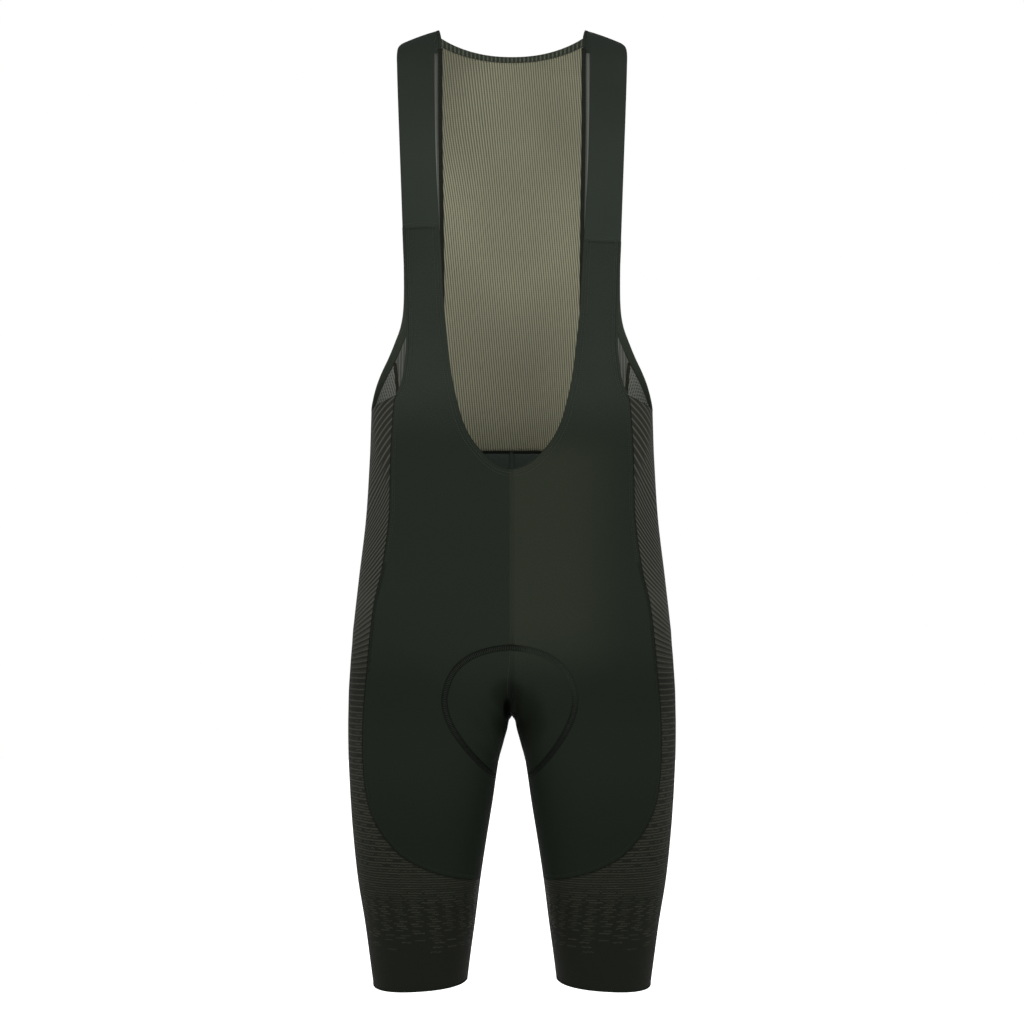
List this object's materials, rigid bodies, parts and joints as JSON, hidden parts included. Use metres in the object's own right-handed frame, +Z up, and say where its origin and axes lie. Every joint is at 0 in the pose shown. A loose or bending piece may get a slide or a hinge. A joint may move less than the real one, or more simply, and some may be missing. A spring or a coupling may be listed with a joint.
{
  "type": "cycling bib shorts",
  "caption": "Close-fitting bib shorts, hollow as worn: mid-thigh legs, high ribbed mesh back, low scooped front and two shoulder straps.",
  "frame": {"origin": "midway between the two shoulder straps, level with the middle of their crests", "axes": "+Z up as worn; the front faces -Y; +X is the wearer's left"},
  "size_m": [0.3566, 0.2164, 1.039],
  "materials": {
    "lycra": "matte knitted stretch fabric, dark green-black",
    "strap_lycra": "matte bonded stretch fabric, dark green-grey",
    "striped_knit": "matte knit with fine lighter stripes",
    "olive_rib": "openwork ribbed mesh, olive",
    "grey_rib": "openwork ribbed mesh, grey",
    "pad_foam": "brushed pad facing over foam"
  },
  "bodies": {
    "root": {"front_left": "lycra", "front_right": "lycra", "strap_left": "strap_lycra", "strap_right": "strap_lycra", "seat_left": "lycra", "seat_right": "lycra", "side_left": "striped_knit", "side_right": "striped_knit", "back_centre": "olive_rib", "back_side_left": "grey_rib", "back_side_right": "grey_rib", "underarm_left": "grey_rib", "underarm_right": "grey_rib", "armhole_band_left": "strap_lycra", "armhole_band_right": "strap_lycra", "back_neck_band": "strap_lycra", "seat_pad": "pad_foam"}
  },
  "joints": []
}
